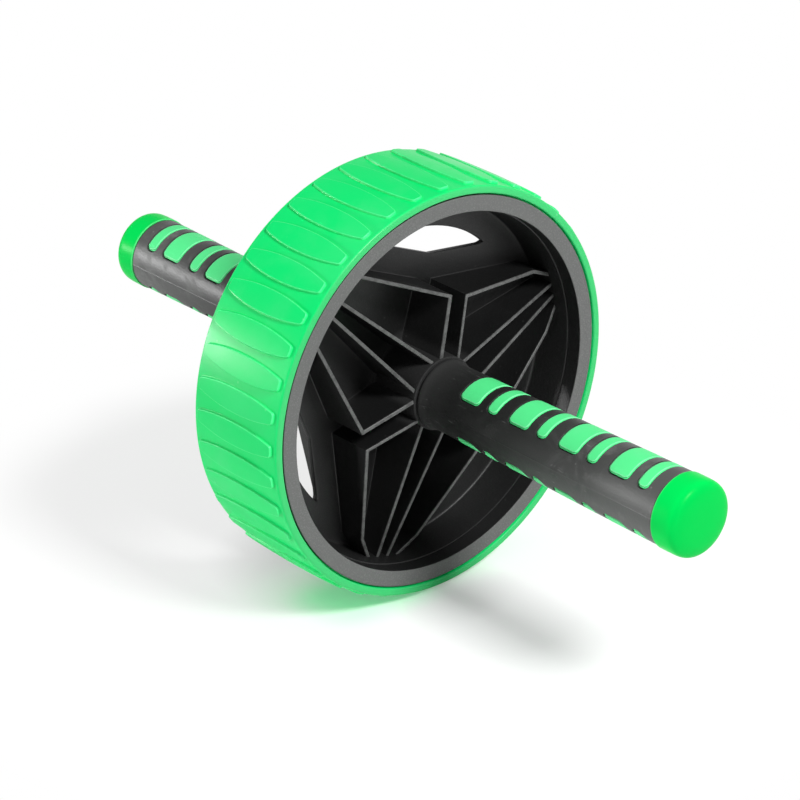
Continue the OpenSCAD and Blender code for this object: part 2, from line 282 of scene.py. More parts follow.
def mesh_from_arrays(name, points, faces, values):
    """Mesh from arrays: points that meet are merged, empty faces go, and the faces are turned outwards."""
    mesh = bpy.data.meshes.new(name)
    mesh.vertices.add(len(points))
    mesh.vertices.foreach_set("co", (points * MM).astype(np.float32).ravel())
    mesh.loops.add(faces.size)
    mesh.loops.foreach_set("vertex_index", faces.astype(np.int32).ravel())
    mesh.polygons.add(len(faces))
    mesh.polygons.foreach_set("loop_start", np.arange(0, faces.size, 4, dtype=np.int32))
    mesh.update(calc_edges=True)
    # The marks become the attribute of painted edge light: painted highlights on edges, and painted shade on the
    # cover.
    mark = mesh.attributes.new("rub", "FLOAT", "POINT")
    mark.data.foreach_set("value", values.astype(np.float32))
    work = bmesh.new()
    work.from_mesh(mesh)
    bmesh.ops.remove_doubles(work, verts=work.verts, dist=2e-6)
    bmesh.ops.dissolve_degenerate(work, dist=1e-7, edges=work.edges)
    bmesh.ops.recalc_face_normals(work, faces=work.faces)
    work.to_mesh(mesh)
    work.free()
    mesh.shade_smooth()
    mesh.set_sharp_from_angle(angle=np.radians(38))
    return mesh


def place(name, mesh, material, body, node):
    """Object for a mesh with its material; it rides on a body and stands for a CAD node."""
    piece = bpy.data.objects.new(name, mesh)
    bpy.context.scene.collection.objects.link(piece)
    mesh.materials.append(material)
    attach(piece, body)
    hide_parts(node)


# Node groups and materials.

def feed(tree, socket, value):
    """Gives an input its value, or links it where the value is another node's output."""
    if isinstance(value, bpy.types.NodeSocket):
        tree.links.new(value, socket)
    else:
        socket.default_value = value


def add(tree, kind, values=None, **settings):
    """One shader node: settings go on the node and values on its inputs."""
    made = tree.nodes.new("ShaderNode" + kind)
    for key, value in settings.items():
        setattr(made, key, value)
    for key, value in (values or {}).items():
        feed(tree, made.inputs[key], value)
    return made


def maths(tree, operation, a, b=0.0, clamp=False):
    """Output of a Math node."""
    return add(tree, "Math", {0: a, 1: b}, operation=operation, use_clamp=clamp).outputs[0]


def times(tree, a, b, clamp=False):
    """Product of two values, from a Math node."""
    return maths(tree, "MULTIPLY", a, b, clamp)


def span(tree, value, low, high, to_low=0.0, to_high=1.0):
    """Output of a smooth Map Range node, held inside its limits."""
    made = add(tree, "MapRange", {"Value": value, "From Min": low, "From Max": high, "To Min": to_low,
                                  "To Max": to_high}, interpolation_type="SMOOTHSTEP")
    return made.outputs["Result"]


def noise(tree, place_at, scale, detail, roughness=0.5, distortion=0.0):
    """Output of a Noise Texture node."""
    return add(tree, "TexNoise", {"Vector": place_at, "Scale": scale, "Detail": detail, "Roughness": roughness,
                                  "Distortion": distortion}).outputs["Fac"]


def object_place(tree):
    """Place in the object's own coordinates, in metres."""
    return add(tree, "TexCoord").outputs["Object"]


def split(tree, place_at):
    """X, Y and Z of a place."""
    return add(tree, "SeparateXYZ", {0: place_at}).outputs


def off_middle(tree):
    """Distance along the axle from the wheel's middle plane, in metres."""
    return maths(tree, "ABSOLUTE", split(tree, object_place(tree))["Y"])


def length_of(tree, vector):
    """Length of a vector."""
    return add(tree, "VectorMath", {0: vector}, operation="LENGTH").outputs["Value"]


def group_tree(name, inputs, outputs):
    """Empty node group with float inputs (name, default) and outputs.

    Gives the tree, the sockets of its two ends and the place in the object's own coordinates.
    """
    tree = bpy.data.node_groups.new(name, "ShaderNodeTree")
    for label, default in inputs:
        socket = tree.interface.new_socket(label, in_out="INPUT", socket_type="NodeSocketFloat")
        socket.default_value = default
    for label in outputs:
        tree.interface.new_socket(label, in_out="OUTPUT", socket_type="NodeSocketFloat")
    given, result = (tree.nodes.new("NodeGroup" + end) for end in ("Input", "Output"))
    return tree, given.outputs, result.inputs, object_place(tree)


def moulded_grain():
    """Fine pebbled grain of a mould: a height, and the tops of the pebbles as a mask."""
    tree, given, result, where = group_tree("Moulded grain", [("Size", 0.001), ("Softness", 0.5)],
                                            ["Height", "Tops"])
    scale = maths(tree, "DIVIDE", 1.0, given["Size"])
    cells = add(tree, "TexVoronoi", {"Vector": where, "Scale": scale}, feature="SMOOTH_F1")
    feed(tree, cells.inputs["Smoothness"], given["Softness"])
    fine = noise(tree, where, times(tree, scale, 1.7), 3.0, 0.6)
    height = maths(tree, "SUBTRACT", fine, cells.outputs["Distance"])
    tree.links.new(span(tree, height, -0.6, 0.6), result["Height"])
    tree.links.new(span(tree, height, 0.05, 0.35), result["Tops"])
    return tree


def handling_marks():
    """Patches and short smears that hands and storage leave: broad patches, and thin broken streaks."""
    tree, given, result, where = group_tree("Handling marks", [("Size", 0.02), ("Cover", 0.5)],
                                            ["Patches", "Streaks"])
    scale = maths(tree, "DIVIDE", 1.0, given["Size"])
    broad = noise(tree, where, scale, 5.0, 0.62, 0.6)
    edge = maths(tree, "SUBTRACT", 0.78, times(tree, given["Cover"], 0.45))
    tree.links.new(span(tree, maths(tree, "SUBTRACT", broad, edge), -0.1, 0.2), result["Patches"])
    drawn = add(tree, "Mapping", {"Vector": where, "Scale": (5.0, 0.8, 5.0)}).outputs["Vector"]
    thin = noise(tree, drawn, times(tree, scale, 2.2), 2.0)
    streaks = times(tree, span(tree, broad, 0.5, 0.62), span(tree, thin, 0.63, 0.7))
    tree.links.new(streaks, result["Streaks"])
    return tree


def fine_dust():
    """Sparse pale specks: small cells, of which only a few hold a speck."""
    tree, given, result, where = group_tree("Fine dust", [("Spacing", 0.004), ("Share", 0.3)], ["Specks"])
    scale = maths(tree, "DIVIDE", 1.0, given["Spacing"])
    cells = add(tree, "TexVoronoi", {"Vector": where, "Scale": scale})
    speck = span(tree, cells.outputs["Distance"], 0.12, 0.04)
    pick = add(tree, "TexWhiteNoise", {"Vector": cells.outputs["Position"]})
    chosen = maths(tree, "LESS_THAN", pick.outputs["Value"], given["Share"])
    tree.links.new(times(tree, speck, chosen), result["Specks"])
    return tree


def edge_rub():
    """Painted edge light: the mesh's own edge mark, broken up a little by noise, as a mask for painted highlights
    and painted shade on edges.
    """
    tree, given, result, where = group_tree("Edge rub", [("Amount", 1.0)], ["Mask"])
    mark = add(tree, "Attribute", attribute_name="rub").outputs["Fac"]
    broken = span(tree, noise(tree, where, 420.0, 2.0), 0.3, 0.6, 0.55, 1.0)
    tree.links.new(times(tree, times(tree, mark, broken), given["Amount"], clamp=True), result["Mask"])
    return tree


GROUP_MAKERS = {"Moulded grain": moulded_grain, "Handling marks": handling_marks, "Edge rub": edge_rub,
                "Fine dust": fine_dust}


def effects(tree, **values):
    """Outputs, by name, of the shared effects that a material uses, each placed with its own values.

    Grain takes (Size, Softness), marks (Size, Cover), the painted edge light (Amount,) and dust (Spacing, Share).
    """
    found = {}
    for (name, maker), key in zip(GROUP_MAKERS.items(), ("grain", "marks", "rub", "dust")):
        if key in values:
            shared = bpy.data.node_groups.get(name) or maker()
            placed = add(tree, "Group", dict(enumerate(values[key])), node_tree=shared)
            found.update(placed.outputs.items())
    return found


def tinted(tree, base, other, mask):
    """Base colour turned to another colour by a mask."""
    made = add(tree, "Mix", {"Factor": mask}, data_type="RGBA")
    colours = [s for s in made.inputs if s.type == "RGBA"]
    for socket, value in zip(colours, (base, other)):
        feed(tree, socket, (*value, 1.0) if isinstance(value, tuple) else value)
    return [s for s in made.outputs if s.type == "RGBA"][0]


def layered(tree, shade, *layers):
    """Colour with layers over it, each (colour, mask, strength of the mask)."""
    for colour, mask, strength in layers:
        shade = tinted(tree, shade, colour, times(tree, mask, strength, clamp=True))
    return shade


def scaled(colour, factor):
    """A colour made darker or lighter by a factor."""
    return tuple(part * factor for part in colour)


def cleared(owner):
    """Empty node tree of a new material or world."""
    owner.use_nodes = True
    owner.node_tree.nodes.clear()
    return owner.node_tree


def new_material(name, colour):
    """New material with its colour in the plain view, and its empty tree."""
    material = bpy.data.materials.new(name)
    material.diffuse_color = (*colour, 1.0)
    return material, cleared(material)


def finished(material, colour, roughness, height, depth, specular=0.5, metallic=0.0):
    """Material with a Principled shader, and a height through a Bump node of a depth in metres."""
    tree = material.node_tree
    bump = add(tree, "Bump", {"Height": height, "Distance": depth, "Strength": 1.0})
    shader = add(tree, "BsdfPrincipled", {
        "Base Color": colour, "Roughness": roughness, "Normal": bump.outputs["Normal"],
        "Specular IOR Level": specular, "Metallic": metallic})
    add(tree, "OutputMaterial", {"Surface": shader.outputs["BSDF"]})
    return material


def tread_rubber(colour):
    """Bright green rubber: even colour, painted shade on the sides, faint paler smears, and painted highlights on
    the pad edges.
    """
    material, tree = new_material("Green tread rubber", colour)
    look = effects(tree, grain=(0.0007, 0.8), marks=(0.03, 0.6), rub=(0.9,), dust=(0.006, 0.25))
    # Painted shade: the side faces of the tyre are painted a darker green than the tread.
    side = span(tree, off_middle(tree), 0.0248, 0.0256)
    # The edge mark paints paler green highlights on the pad edges and lightens the shade low on their walls.
    shade = layered(tree, colour, ((0.09, 0.66, 0.25), look["Patches"], 0.22), ((0.035, 0.45, 0.13), side, 1.0),
                    ((0.12, 0.86, 0.33), look["Mask"], 0.7), ((0.6, 0.9, 0.7), look["Specks"], 0.12))
    rough = maths(tree, "ADD", span(tree, look["Patches"], 0.0, 1.0, 0.34, 0.3),
                  times(tree, look["Streaks"], 0.12))
    return finished(material, shade, rough, look["Height"], 0.000012, specular=0.17)


def core_plastic(colour):
    """Dark grey moulded plastic with a fine matt grain, a few specks of dust, and painted light: a paler grey on
    the ring face and on the rib tops and edges.
    """
    material, tree = new_material("Dark core plastic", colour)
    look = effects(tree, grain=(0.00085, 0.5), marks=(0.03, 0.4), rub=(1.0,), dust=(0.005, 0.35))
    part = split(tree, object_place(tree))
    flat_place = add(tree, "CombineXYZ", {"X": part["X"], "Y": part["Z"]})
    reach = length_of(tree, flat_place.outputs[0])
    # Painted light: the ring face and, through the edge mark, the rib tops and edges are painted a paler grey than
    # the shaded pockets.
    ring = times(tree, span(tree, off_middle(tree), 0.0247, 0.02495), span(tree, reach, 0.072, 0.0765))
    hollows = maths(tree, "SUBTRACT", 1.0, look["Tops"])
    grey = tinted(tree, (0.117, 0.119, 0.117), (0.094, 0.096, 0.094), hollows)
    pale = maths(tree, "MAXIMUM", ring, times(tree, look["Mask"], 0.8))
    shade = layered(tree, colour, (scaled(colour, 0.62), hollows, 1.0),
                    (scaled(colour, 1.45), look["Patches"], 0.35), (grey, pale, 1.0),
                    ((0.3, 0.3, 0.3), look["Specks"], 0.06))
    rough = span(tree, look["Tops"], 0.0, 1.0, 0.42, 0.33)
    for more in (times(tree, ring, 0.2), span(tree, reach, 0.073, 0.0745, 0.0, 0.1),
                 span(tree, reach, 0.022, 0.017, 0.0, 0.4)):
        rough = maths(tree, "ADD", rough, more)
    return finished(material, shade, rough, look["Height"], 0.00003)


def cover_rubber(colour):
    """Black soft-touch rubber: matt, with pale smears, cloudy grey patches towards the cap end, and painted shade
    in the grooves round the windows.
    """
    material, tree = new_material("Black cover rubber", colour)
    look = effects(tree, grain=(0.0006, 0.9), marks=(0.012, 0.55), rub=(0.8,), dust=(0.005, 0.3))
    along = off_middle(tree)
    cloudy = span(tree, look["Patches"], 0.0, 1.0, 0.5, 1.0)
    # Greyer in cloudy patches from 65 mm out towards the cap end.
    shade = layered(tree, colour, ((0.13, 0.134, 0.13), span(tree, along, 0.065, 0.16), cloudy),
                    # The edge mark paints the window rims and the seam almost black: painted shade of the grooves
                    # round the windows, and a darker line at the seam.
                    ((0.2, 0.2, 0.2), look["Streaks"], 0.3), ((0.003, 0.004, 0.003), look["Mask"], 6.0),
                    ((0.4, 0.4, 0.4), look["Specks"], 0.2))
    rough = maths(tree, "ADD", span(tree, look["Patches"], 0.0, 1.0, 0.42, 0.56),
                  span(tree, along, 0.045, 0.03, 0.0, 0.35))
    rough = maths(tree, "ADD", rough, times(tree, look["Mask"], 2.0, clamp=True), clamp=True)
    return finished(material, shade, rough, look["Height"], 0.00003)


def inlay_rubber(colour):
    """Light green soft rubber, satin, with painted highlights on the rounded edges."""
    material, tree = new_material("Light green inlay rubber", colour)
    look = effects(tree, grain=(0.0006, 0.9), marks=(0.01, 0.4), rub=(0.9,))
    shade = layered(tree, colour, ((0.14, 0.74, 0.31), look["Patches"], 0.35),
                    # The edge mark paints the rounded edges paler: painted highlights.
                    ((0.3, 0.9, 0.48), look["Mask"], 0.6))
    rough = span(tree, look["Patches"], 0.0, 1.0, 0.5, 0.6)
    return finished(material, shade, rough, look["Height"], 0.00002, specular=0.3)


def cap_plastic(colour):
    """Bright green moulded plastic, semi-gloss, with a faint flow pattern, painted shade on the end face and a
    painted highlight on the lip.
    """
    material, tree = new_material("Green cap plastic", colour)
    look = effects(tree, grain=(0.0012, 1.0), marks=(0.014, 0.4), rub=(0.9,))
    # Painted shade: the end face, which the main lamp lights most, is painted darker.
    painted_shade_end_face = span(tree, off_middle(tree), 0.1685, 0.1725)
    shade = layered(tree, colour, ((0.0, 0.54, 0.085), look["Patches"], 0.4),
                    (scaled(colour, 0.7), painted_shade_end_face, 1.0), ((0.2, 0.85, 0.36), look["Mask"], 0.6))
    rough = maths(tree, "ADD", span(tree, look["Patches"], 0.0, 1.0, 0.3, 0.38),
                  times(tree, look["Streaks"], 0.1))
    return finished(material, shade, rough, look["Height"], 0.00001, specular=0.035)


def plain_plastic(name, colour, roughness):
    """Inner plastic with a fine moulded grain."""
    material, tree = new_material(name, colour)
    look = effects(tree, grain=(0.0008, 0.7))
    shade = tinted(tree, colour, scaled(colour, 0.8), look["Tops"])
    rough = span(tree, look["Tops"], 0.0, 1.0, roughness, roughness + 0.1)
    return finished(material, shade, rough, look["Height"], 0.00003)


def machined_steel(name, colour, roughness, lines):
    """Turned metal: fine rings across the axle, a number of lines to the metre, and cloudy plating."""
    material, tree = new_material(name, colour)
    drawn = add(tree, "Mapping", {"Vector": object_place(tree), "Scale": (20.0, lines, 20.0)}).outputs["Vector"]
    rings = noise(tree, drawn, 1.0, 2.0)
    look = effects(tree, marks=(0.012, 0.5))
    shade = layered(tree, colour, (scaled(colour, 0.75), look["Patches"], 0.5))
    rough = span(tree, rings, 0.3, 0.7, roughness, roughness + 0.18)
    return finished(material, shade, rough, rings, 0.000004, metallic=1.0)


# Tyre.

def crown(y):
    """Radius of the tyre between its pads: the full radius less half the square of y / pad half length."""
    return BASE_R - 0.5 * (y / PAD_HALF) ** 2


def pad_quarter():
    """Quarter of a pad outline and the matching quarter of its cell, from +x round to +y.

    The sides bend in towards blunt ends: x = half width times (1 - bend (y / half length)^2.2), with round
    corners.
    """
    y = np.linspace(0, PAD_HALF - PAD_CORNER, 14)
    sides = np.stack([PAD_WIDE * (1 - PAD_BEND * (y / PAD_HALF) ** 2.2), y], -1)
    end_x = sides[-1, 0]
    f = np.radians(np.linspace(0, 90, 7)[1:])[:, None]
    corner = [end_x - PAD_CORNER, PAD_HALF - PAD_CORNER] + PAD_CORNER * np.concatenate([np.cos(f), np.sin(f)], 1)
    pad = np.concatenate([sides, corner, [[(end_x - PAD_CORNER) * 0.5, PAD_HALF], [0.0, PAD_HALF]]])
    pitch = np.pi * BASE_R / PAD_COUNT
    up = np.concatenate([y / y[-1] * 0.93, [0.965], np.ones(7)])
    across = np.concatenate([np.ones(16), np.linspace(1, 0, 7)[1:]])
    return pad, np.stack([pitch * across, CELL_HALF * up], -1)


def tyre_mesh(pad_height):
    """Tyre: one cell for each pad, and a turned profile for the shoulders and the inner side.

    In a cell, rows of points run from the cell's border to the pad's outline, up its rounded wall and over
    the flat top to the middle line. The radius is the crown plus a share of the pad's height. A row of the
    wall is (distance out from the outline, share of the height, painted edge light).
    """
    pad, cell = (quarter_to_loop(q) for q in pad_quarter())
    middle_line = np.stack([np.zeros(len(pad)), pad[:, 1] * 0.85], -1)
    # The third value of a wall row marks a painted highlight on the rounded top edge, and paints the shade low on
    # the wall lighter.
    wall = ((0.3, 0.0, 0), (0.14, 0.05, 0), (0.04, 0.2, 0.3), (-0.04, 0.72, 0.7), (-0.11, 0.9, 1),
            (-0.22, 0.98, 1), (-0.34, 1.0, 0.5))
    table = between(cell, grown(pad, 0.5), (0, 0.4, 0.75, 1), 0.0, 0.0)
    table += [(grown(pad, outwards), share, rub) for outwards, share, rub in wall]
    table += between(grown(pad, -0.5), middle_line, (0, 0.3, 0.65, 1), 1.0, 0.0)
    rows, share, mark = columns(table)
    x, y = rows[..., 0], rows[..., 1]
    turn = np.radians(PAD_TURN + 360.0 / PAD_COUNT * np.arange(PAD_COUNT))[:, None, None]
    pads = around(crown(y) + share * pad_height / MM, turn + x / BASE_R, y)

    end_angles = np.unique(np.round(cell[np.isclose(cell[:, 1], CELL_HALF), 0] / BASE_R, 9))
    angles = np.degrees((turn[:, 0] + end_angles[:-1]).ravel())
    angles = np.append(angles, angles[0] + 360)
    f = np.linspace(0, np.pi / 2, 9)
    shoulder = np.stack([crown(SHOULDER_Y) - SHOULDER_ROUND + SHOULDER_ROUND * np.cos(f),
                         SHOULDER_Y + SHOULDER_ROUND * np.sin(f)], -1)
    lip = [[85.85, 25.6], [85.5, 25.57], [85.2, 25.45], [85.02, 25.2], [84.95, 24.8], [84.93, 23.9], [84.7, 23.5],
           [RING_R, 23.4]]
    half = np.concatenate([[[crown(CELL_HALF), CELL_HALF]], shoulder, lip, KEY_PROFILE])
    return mesh_from_patches("green_tyre", [pads, turned(both_sides(half), angles)], [mark, 0.0])


# Wheel core.

def line_radius(p, q, a):
    """Distance from the centre at angle a of the straight line through two points."""
    return (p[0] * q[1] - p[1] * q[0]) / ((q[1] - p[1]) * np.cos(a) - (q[0] - p[0]) * np.sin(a))


def window_edge(a):
    """Inner edge of a window at an angle from its spoke: a shallow chevron with a steeper end."""
    a = np.abs(a)
    p0, p1, p2 = (52.0, 0.0), (55.735, 27.26), (56.569, 29.0)
    knee = np.arctan2(p1[1], p1[0])
    return np.where(a < knee, line_radius(p0, p1, a), line_radius(p1, p2, a))


def window_end():
    """Angle at which the inner edge of a window meets its outer edge."""
    a = np.linspace(0.44, 0.52, 4001)
    return a[np.argmin(np.abs(window_edge(a) - WINDOW_OUT))]


def hub_profile():
    """Closed half of the core towards the axle: fillet at the web, hub, and the seats of the two bushes."""
    corners = both_sides([[HUB_R, WEB_HALF], [HUB_R, HUB_FACE], [FLANGE_R, HUB_FACE], [FLANGE_R, FLANGE_Y],
                          [BUSH_R, FLANGE_Y], [BUSH_R, BUSH_Y], [BORE_R, BUSH_Y]])
    reach = [0, 0.6, 0.3, 0.1, 0.1, 0.1, 0.1]
    hub = rounded(corners, reach + reach[::-1])
    hub = hub[(hub[:, 0] < HUB_R) | (np.abs(hub[:, 1]) > WEB_HALF + 1.3)]
    fillet = bend([HUB_R + HUB_ROUND, WEB_HALF], [HUB_R, WEB_HALF], [HUB_R, WEB_HALF + HUB_ROUND], 5)
    return np.concatenate([fillet, hub, fillet[::-1] * [1, -1]])


def rim_profile():
    """Half of the core towards the tyre: fillet at the web, stepped wall, flat ring and key grooves.

    Each group of points is measured from a corner that it rounds.
    """
    groups = (([[-WEB_ROUND, 0], [-2.2, 0.12], [-1.82, 0.5], [-1.7, 1.2]], [RIM_R, WEB_HALF]),
              ([[-0.66, -0.9], [-0.6, -0.4], [-0.52, -0.1], [-0.3, 0], [-0.02, 0.02], [0, 0.3]], [RIM_R, STEP_Y]),
              ([[0, -0.75], [0, -0.45], [0.08, -0.17], [0.22, -0.04], [0.45, 0], [0.75, 0]], [RIM_R, FACE]),
              ([[-0.75, 0], [-0.45, 0], [-0.2, -0.05], [-0.05, -0.2], [0, -0.45]], [RING_R, FACE]),
              (KEY_PROFILE, [0, 0]))
    return both_sides(np.concatenate([np.add(corner, points) for points, corner in groups]))


def body_mesh():
    """Rim, web and hub of the core, with three windows.

    Two closed profiles are carried round the axle: one from the windows in to the hub and one from the
    windows out to the ring. Their web edges lie at the window's inner and outer radius inside a window and
    meet elsewhere, where the wall between the two faces of the web is left out.
    """
    end = window_end()
    part = np.concatenate([np.linspace(-end, end, 57), np.linspace(end, THIRD - end, 49)[1:-1]])
    is_open = np.tile(np.repeat([True, False], [56, 48]), 3)
    turns = np.radians(SPOKE_TURN) + THIRD * np.arange(3)[:, None]
    a = np.append((turns + part).ravel(), turns[0, 0] + part[0] + 2 * np.pi)
    local = np.append(np.tile(part, 3), part[0])
    near = np.where(np.abs(local) <= end + 1e-9, np.minimum(window_edge(local), WINDOW_OUT), WINDOW_OUT)
    far = np.full(len(a), WINDOW_OUT)
    soft = np.clip((far - near) * 0.2, 0, 0.3)

    def web_rows(edge, toward, fixed_r):
        """Rows of the front face from a fixed radius to a window's edge and its rounding, and of the back."""
        lay = [(edge + toward * soft * reach, WEB_HALF - soft * drop)
               for reach, drop in ((1, 0), (0.35, 0.1), (0.1, 0.35), (0, 1))]
        spread = [(lay[0][0] + (fixed_r - lay[0][0]) * w, lay[0][1]) for w in (1, 0.75, 0.5, 0.25, 0.04)]
        front = spread + lay
        return front, [(r, -y) for r, y in front[::-1]]

    points, faces, values, start = [], [], [], 0
    for edge, toward, fixed, loop in ((near, -1, HUB_R + HUB_ROUND, hub_profile()),
                                      (far, 1, RIM_R - WEB_ROUND, rim_profile())):
        front, back = web_rows(edge, toward, fixed)
        rows = front + back + [(np.full(len(a), r), np.full(len(a), y)) for r, y in loop[::-1]] + front[:1]
        r, y = (np.array([row[k] for row in rows]) for k in (0, 1))
        keep = np.ones((len(rows) - 1, len(a) - 1), bool)
        keep[len(front) - 1] = is_open
        points.append(around(r, a, y).reshape(-1, 3))
        faces.append(quads(start + np.arange(r.size).reshape(r.shape))[keep])
        # The corners of the ring are marked for a weak painted highlight.
        on_edge = (np.abs(np.abs(y) - FACE) < 0.3) & ((np.abs(r - RIM_R) < 0.3) | (np.abs(r - RING_R) < 0.3))
        values.append(np.where(on_edge, 0.35, 0.0).ravel())
        start += r.size
    return mesh_from_arrays("core_body", np.concatenate(points), np.concatenate(faces), np.concatenate(values))


def roof(x, z):
    """Height of the rib tops: three planes that fall by the slope along three directions from the axle."""
    turns = np.radians(SPOKE_TURN + 60 + 120 * np.arange(3))
    along = np.max([x * np.cos(t) + z * np.sin(t) for t in turns], axis=0)
    return np.minimum(ROOF_APEX - ROOF_SLOPE * along, HUB_FACE)


def rib(path, samples, edge):
    """A wall carried along a path of corners in the plane of the wheel, one side of the web.

    At each point the wall's section is set out along the mitre of the path: a small flare at the web, straight
    sides and a top with rounded edges at the height of the roof. Both ends are closed inside the hub and rim.
    """
    path = np.asarray(path, float)
    leg = np.diff(path, axis=0)
    leg /= np.linalg.norm(leg, axis=1, keepdims=True)
    side = np.stack([-leg[:, 1], leg[:, 0]], -1)
    mitre = np.concatenate([side[:1], side[:-1] + side[1:], side[-1:]])
    mitre /= np.linalg.norm(mitre, axis=1, keepdims=True)
    ahead = np.concatenate([side[:1], side])
    mitre /= np.sum(mitre * ahead, axis=1, keepdims=True)
    t = np.concatenate([k + np.linspace(0, 1, n, endpoint=False) for k, n in enumerate(samples)]
                       + [[len(path) - 1.0]])
    knots = np.arange(len(path))
    where = np.stack([np.interp(t, knots, path[:, k]) for k in (0, 1)], -1)
    out = np.stack([np.interp(t, knots, mitre[:, k]) for k in (0, 1)], -1)
    h = RIB_THICK / 2
    offset = [h + 0.45, h + 0.45, h + 0.14, h, h, h, h - edge * 0.12, h - edge * 0.5, h - edge, h - edge - 0.1]
    lift = [-0.4, 0.0, 0.12, 0.5, -edge - 0.3, -edge, -edge * 0.5, -edge * 0.12, 0.0, 0.0]
    offset = np.array(offset + [-v for v in offset[::-1]])
    lift = np.array(lift + lift[::-1])
    at_web = np.repeat([True, False, True], [4, 12, 4])
    x = where[:, 0:1] + out[:, 0:1] * offset
    z = where[:, 1:2] + out[:, 1:2] * offset
    wall = np.stack([x, np.where(at_web, WEB_HALF, roof(x, z)) + lift, z], -1)
    centre = np.broadcast_to(wall.mean(1, keepdims=True), (len(wall), len(lift) + 1, 3))
    rub = np.zeros((len(wall) + 2, len(lift) + 1))
    # The top and its rounded edges are marked for painted light: a paler grey than the walls of the pockets.
    rub[1:-1, 5:15] = 1.0
    return np.concatenate([centre[:1], np.concatenate([wall, wall[:, :1]], 1), centre[-1:]]), rub


def half_spoke(edge, turn, flip):
    """The two walls of a half spoke, turned into place before their tops are cut by the roof."""
    bent = [(HUB_R - 1.4, 4.88), (40.5, 4.6), (RIM_R * 0.609, RIM_R * 0.652), (RIM_R * 0.581, RIM_R * 0.816)]
    ray = rotated([(HUB_R - 1.8, -6.8), (RIM_R + 0.4, -2.7)], np.radians(60))
    return [rib(rotated(np.array(path) * [1, flip], turn), samples, edge)
            for path, samples in ((bent, (7, 9, 3)), (ray, (10,)))]


def ribs_mesh(edge, side):
    """All ribs on one side of the web: half spokes, mirrored and turned three times."""
    walls = [wall for k in range(3) for flip in (1, -1)
             for wall in half_spoke(edge, np.radians(SPOKE_TURN + 120 * k), flip)]
    return mesh_from_patches("core_ribs", [points * [1, side, 1] for points, _ in walls], [rub for _, rub in walls])


# Grips.

def grip_radius(y):
    """Radius of a grip: straight taper, with a small flare next to the wheel."""
    taper = TAPER_R + TAPER_RISE * (y - TAPER_Y) / (SEAM - TAPER_Y)
    return taper + FLARE_RISE * np.clip((FLARE_Y - y) / FLARE_LONG, 0, 1) ** 2.2


def inlay_sizes():
    """Middle, half length, and reach of the cell behind and ahead, of the eight inlays of a row.

    Wide and narrow inlays take turns; the borders of the cells lie halfway in the gaps between them.
    """
    wide = np.arange(8) % 2 == 0
    middle = INLAY_START + INLAY_STEP * (np.arange(8) // 2) + np.where(wide, 0.0, INLAY_SHIFT)
    short_gap = (INLAY_SHIFT - INLAY_WIDE - INLAY_NARROW) / 2
    long_gap = (INLAY_STEP - INLAY_SHIFT - INLAY_WIDE - INLAY_NARROW) / 2
    half = np.where(wide, INLAY_WIDE, INLAY_NARROW)
    return np.stack([middle, half, half + np.where(wide, long_gap, short_gap),
                     half + np.where(wide, short_gap, long_gap)], -1)


def inlay_quarter(half, radius, grow):
    """Quarter outline of an inlay, as angle in degrees and distance along the axle, and its cell's quarter.

    Seen from straight above it is a rectangle with rounded corners, so x = radius times sin of the angle.
    """
    cy = INLAY_CORNER + grow
    cx = cy * np.cos(np.radians(INLAY_ANGLE))
    hx = radius * np.sin(np.radians(INLAY_ANGLE)) + grow
    hy = half + grow
    turn = np.linspace(0, np.pi / 2, 9)
    arc = np.stack([hx - cx + cx * np.cos(turn), hy - cy + cy * np.sin(turn)], -1)
    short = np.stack([np.full(3, hx), np.linspace(0, hy - cy, 4)[:3]], -1)
    long_side = np.stack([np.linspace(hx - cx, 0, 9)[1:], np.full(8, hy)], -1)
    plan = np.concatenate([short, arc, long_side])
    angle = np.degrees(np.arcsin(plan[:, 0] / radius))
    up = np.concatenate([np.linspace(0, 0.45, 4)[:3], np.linspace(0.45, 1, 5), np.ones(12)])
    across = np.concatenate([np.ones(7), np.linspace(1, 0.74, 5), np.linspace(0.74, 0, 9)[1:]])
    return np.stack([angle, plan[:, 1]], -1), np.stack([CELL_ANGLE * across, up], -1)


def seam_ridge(offset):
    """Height of the fine parting line on both sides of a grip, at an angle from the row of inlays."""
    away = np.abs(np.abs(offset) - 90.0) * MM_PER_DEGREE
    return RIDGE_RISE * np.exp(-(away / RIDGE_WIDE) ** 2)


def on_grip(offset, y, drop, side, turn, lowest=np.nan):
    """Points of a grip at an angle from the top row and a distance from the wheel's middle.

    They lie under the grip's surface by the drop, or at the radius `lowest` where that is a number.
    """
    r = np.where(np.isnan(lowest), grip_radius(y) + seam_ridge(offset) - drop, lowest)
    return around(r, np.radians(90.0 + turn + offset), side * y)


def inlay_outlines(grow):
    """For each inlay of a row: its middle, its outline as (angle, distance from the middle), and its cell.

    The cell comes twice, as shares and stretched to the neighbours. Last comes a function that moves the
    outline sideways by some millimetres.
    """
    for middle, half, behind, ahead in inlay_sizes():
        radius = grip_radius(middle)
        outline, cell = (quarter_to_loop(q) for q in inlay_quarter(half, radius, grow))
        scale = np.array([np.degrees(1 / radius), 1.0])
        reach = np.stack([np.ones(len(cell)), np.where(cell[:, 1] > 0, ahead, behind)], -1)
        yield middle, outline, cell, cell * reach, lambda outwards: grown(outline / scale, outwards) * scale


